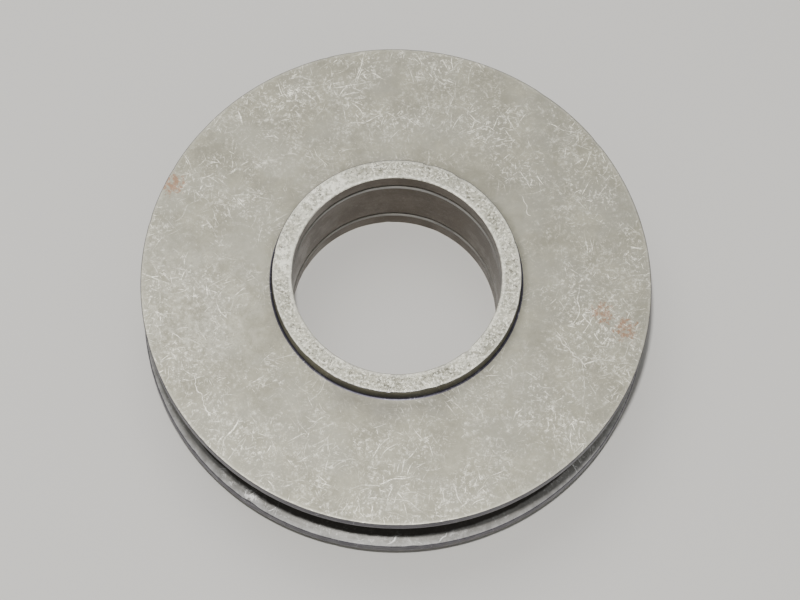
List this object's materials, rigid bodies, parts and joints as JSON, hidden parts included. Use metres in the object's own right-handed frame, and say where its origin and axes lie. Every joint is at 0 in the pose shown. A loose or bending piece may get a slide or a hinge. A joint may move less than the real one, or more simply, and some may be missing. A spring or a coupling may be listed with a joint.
{
  "type": "rope sheave",
  "caption": "Grooved steel wheel that guides a wire rope round its rim and turns on a bearing held in its bore by retaining rings.",
  "frame": {"origin": "centre of the lower hub face, on the wheel's own axis", "axes": "+Z along the bore axis, from the lower hub face to the upper one"},
  "size_m": [0.195, 0.195, 0.045],
  "materials": {
    "scuffed_steel": "dull turned steel, handled and finely scratched, with brighter worn hub faces"
  },
  "bodies": {
    "root": {"rope_sheave": "scuffed_steel"}
  },
  "joints": []
}
